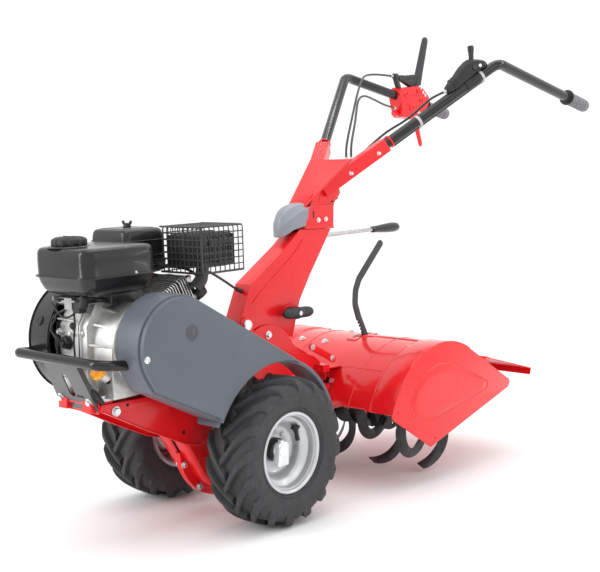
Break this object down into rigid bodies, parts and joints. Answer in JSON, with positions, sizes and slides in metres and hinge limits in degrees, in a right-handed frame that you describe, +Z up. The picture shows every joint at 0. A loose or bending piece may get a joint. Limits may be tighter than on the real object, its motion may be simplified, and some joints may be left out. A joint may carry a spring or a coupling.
{
  "type": "tiller",
  "caption": "Walk-behind rear-tine tiller with two driven wheels, a petrol engine, a tine hood with a levelling flap, and swivelling handlebars with levers.",
  "frame": {"origin": "on the ground under the middle of the machine's bounding box", "axes": "+X machine's left, +Y rearward to the operator, +Z up"},
  "size_m": [0.5453, 1.7272, 1.222],
  "materials": {
    "red_paint": "gloss",
    "black_paint": "gloss",
    "slate_plastic": "satin",
    "black_plastic": "satin",
    "tank_paint": "gloss",
    "orange_plastic": "gloss",
    "alloy": "cast",
    "zinc": "zinc plated",
    "dark_steel": "bare, worn",
    "muffler_steel": "heat-proof paint",
    "rim_paint": "silver",
    "tyre": "rubber",
    "soft_rubber": "ribbed rubber"
  },
  "bodies": {
    "frame": {"chassis": "red_paint", "bumper": "black_paint", "gearbox_left": "red_paint", "gearbox_right": "red_paint", "drive_case": "red_paint", "tine_case": "black_paint", "column_base": "red_paint", "hood": "red_paint", "hood_ends": "red_paint", "fasteners": "zinc", "belt_cover": "slate_plastic", "crankcase": "alloy", "crankcase_cover": "alloy", "cylinder": "alloy", "cylinder_head": "alloy", "blower_housing": "black_plastic", "recoil_cover": "black_plastic", "fuel_tank": "tank_paint", "air_cleaner": "black_plastic", "air_cleaner_cover": "black_plastic", "carburettor": "alloy", "muffler": "muffler_steel", "muffler_guard": "black_paint", "oil_sensor": "black_plastic", "drive_belt": "soft_rubber", "engine_cable": "black_plastic"},
    "wheels": {"axle": "zinc", "wheel_hubs": "zinc", "lock_pins": "zinc", "rim_left": "rim_paint", "rim_right": "rim_paint", "tyre_left": "tyre", "tyre_right": "tyre"},
    "rotor": {"tine_shaft": "zinc", "tine_flanges": "black_paint", "tines": "dark_steel"},
    "crank": {"crankshaft": "zinc", "engine_pulley": "zinc"},
    "input_shaft": {"gearbox_pulley": "zinc"},
    "idler_arm": {"idler_arm": "zinc"},
    "idler_pulley": {"idler_pulley": "black_plastic"},
    "fuel_cap": {"fuel_cap": "black_plastic"},
    "dipstick": {"dipstick": "orange_plastic"},
    "starter_handle": {"starter_handle": "black_plastic"},
    "wing_nut": {"wing_nut": "zinc"},
    "column": {"column_lower": "red_paint"},
    "height_knob": {"height_knob": "black_plastic"},
    "gear_lever": {"gear_lever": "zinc"},
    "handlebar": {"column_upper": "red_paint", "swivel_cover": "slate_plastic", "handlebars": "black_paint", "grips": "soft_rubber", "lever_housing": "red_paint", "throttle_body": "black_plastic", "cables": "black_plastic"},
    "clutch_lever": {"clutch_lever": "black_plastic"},
    "reverse_lever": {"reverse_lever": "red_paint"},
    "throttle_lever": {"throttle_lever": "black_plastic"},
    "tine_lever": {"tine_lever": "black_paint"},
    "flap": {"flap": "red_paint"}
  },
  "joints": [
    {"name": "wheel_spin", "type": "hinge", "parent": "frame", "child": "wheels", "pos_m": [0, -0.40913, 0.165], "axis": [1, 0, 0], "continuous": true},
    {"name": "rotor_spin", "type": "hinge", "parent": "frame", "child": "rotor", "pos_m": [0, 0.15088, 0.165], "axis": [1, 0, 0], "continuous": true},
    {"name": "crank_spin", "type": "hinge", "parent": "frame", "child": "crank", "pos_m": [0, -0.69712, 0.422], "axis": [1, 0, 0], "continuous": true},
    {"name": "input_spin", "type": "hinge", "parent": "frame", "child": "input_shaft", "pos_m": [0, -0.59413, 0.35], "axis": [1, 0, 0], "continuous": true},
    {"name": "idler_swing", "type": "hinge", "parent": "frame", "child": "idler_arm", "pos_m": [0, -0.62413, 0.29], "axis": [-1, 0, 0], "range_deg": [0, 4]},
    {"name": "idler_spin", "type": "hinge", "parent": "idler_arm", "child": "idler_pulley", "pos_m": [0.139, -0.69012, 0.334], "axis": [1, 0, 0], "continuous": true},
    {"name": "fuel_cap_turn", "type": "hinge", "parent": "frame", "child": "fuel_cap", "pos_m": [-0.02, -0.80389, 0.62053], "axis": [0, -0.0436, 0.999], "range_deg": [0, 90]},
    {"name": "dipstick_turn", "type": "hinge", "parent": "frame", "child": "dipstick", "pos_m": [0.066, -0.78668, 0.36404], "axis": [0, -0.7934, 0.6088], "continuous": true},
    {"name": "starter_pull", "type": "slide", "parent": "frame", "child": "starter_handle", "axis": [0, 0.5373, 0.8434], "range_m": [0, 0.05], "stiffness_N_per_m": 60, "springref_m": -0.05},
    {"name": "wing_nut_turn", "type": "hinge", "parent": "frame", "child": "wing_nut", "pos_m": [-0.086, -0.60108, 0.65241], "axis": [0, -0.0436, 0.999], "continuous": true},
    {"name": "column_tilt", "type": "hinge", "parent": "frame", "child": "column", "pos_m": [0, -0.34813, 0.422], "axis": [1, 0, 0], "range_deg": [0, 10]},
    {"name": "height_knob_turn", "type": "hinge", "parent": "column", "child": "height_knob", "pos_m": [0, -0.19712, 0.44], "axis": [1, 0, 0], "continuous": true},
    {"name": "gear_shift", "type": "slide", "parent": "column", "child": "gear_lever", "axis": [0, 0.9989, 0.0471], "range_m": [-0.025, 0.025]},
    {"name": "handlebar_swing", "type": "hinge", "parent": "column", "child": "handlebar", "pos_m": [0, -0.09112, 0.638], "axis": [0, 0, 1], "range_deg": [-30, 30]},
    {"name": "clutch_press", "type": "hinge", "parent": "handlebar", "child": "clutch_lever", "pos_m": [-0.251, 0.69488, 1.056], "axis": [-1, 0, 0], "range_deg": [0, 55], "stiffness_Nm_per_rad": 2, "springref_deg": -17.19},
    {"name": "reverse_pull", "type": "hinge", "parent": "handlebar", "child": "reverse_lever", "pos_m": [-0.251, 0.69088, 0.974], "axis": [1, 0, 0], "range_deg": [0, 30], "stiffness_Nm_per_rad": 2, "springref_deg": -17.19},
    {"name": "throttle_turn", "type": "hinge", "parent": "handlebar", "child": "throttle_lever", "pos_m": [0.21986, 0.29199, 1.04832], "axis": [-0.8743, 0.4855, 0], "range_deg": [-60, 0]},
    {"name": "tine_lever_swing", "type": "hinge", "parent": "frame", "child": "tine_lever", "pos_m": [0, 0.16875, 0.29945], "axis": [1, 0, 0], "range_deg": [-8, 12]},
    {"name": "flap_lift", "type": "hinge", "parent": "frame", "child": "flap", "pos_m": [0, 0.33787, 0.287], "axis": [1, 0, 0], "range_deg": [0, 80]}
  ],
  "couplings": [
    {"joint": "idler_swing", "follows": "clutch_press", "ratio": 0.0727},
    {"joint": "input_spin", "follows": "crank_spin", "ratio": 0.6396}
  ]
}
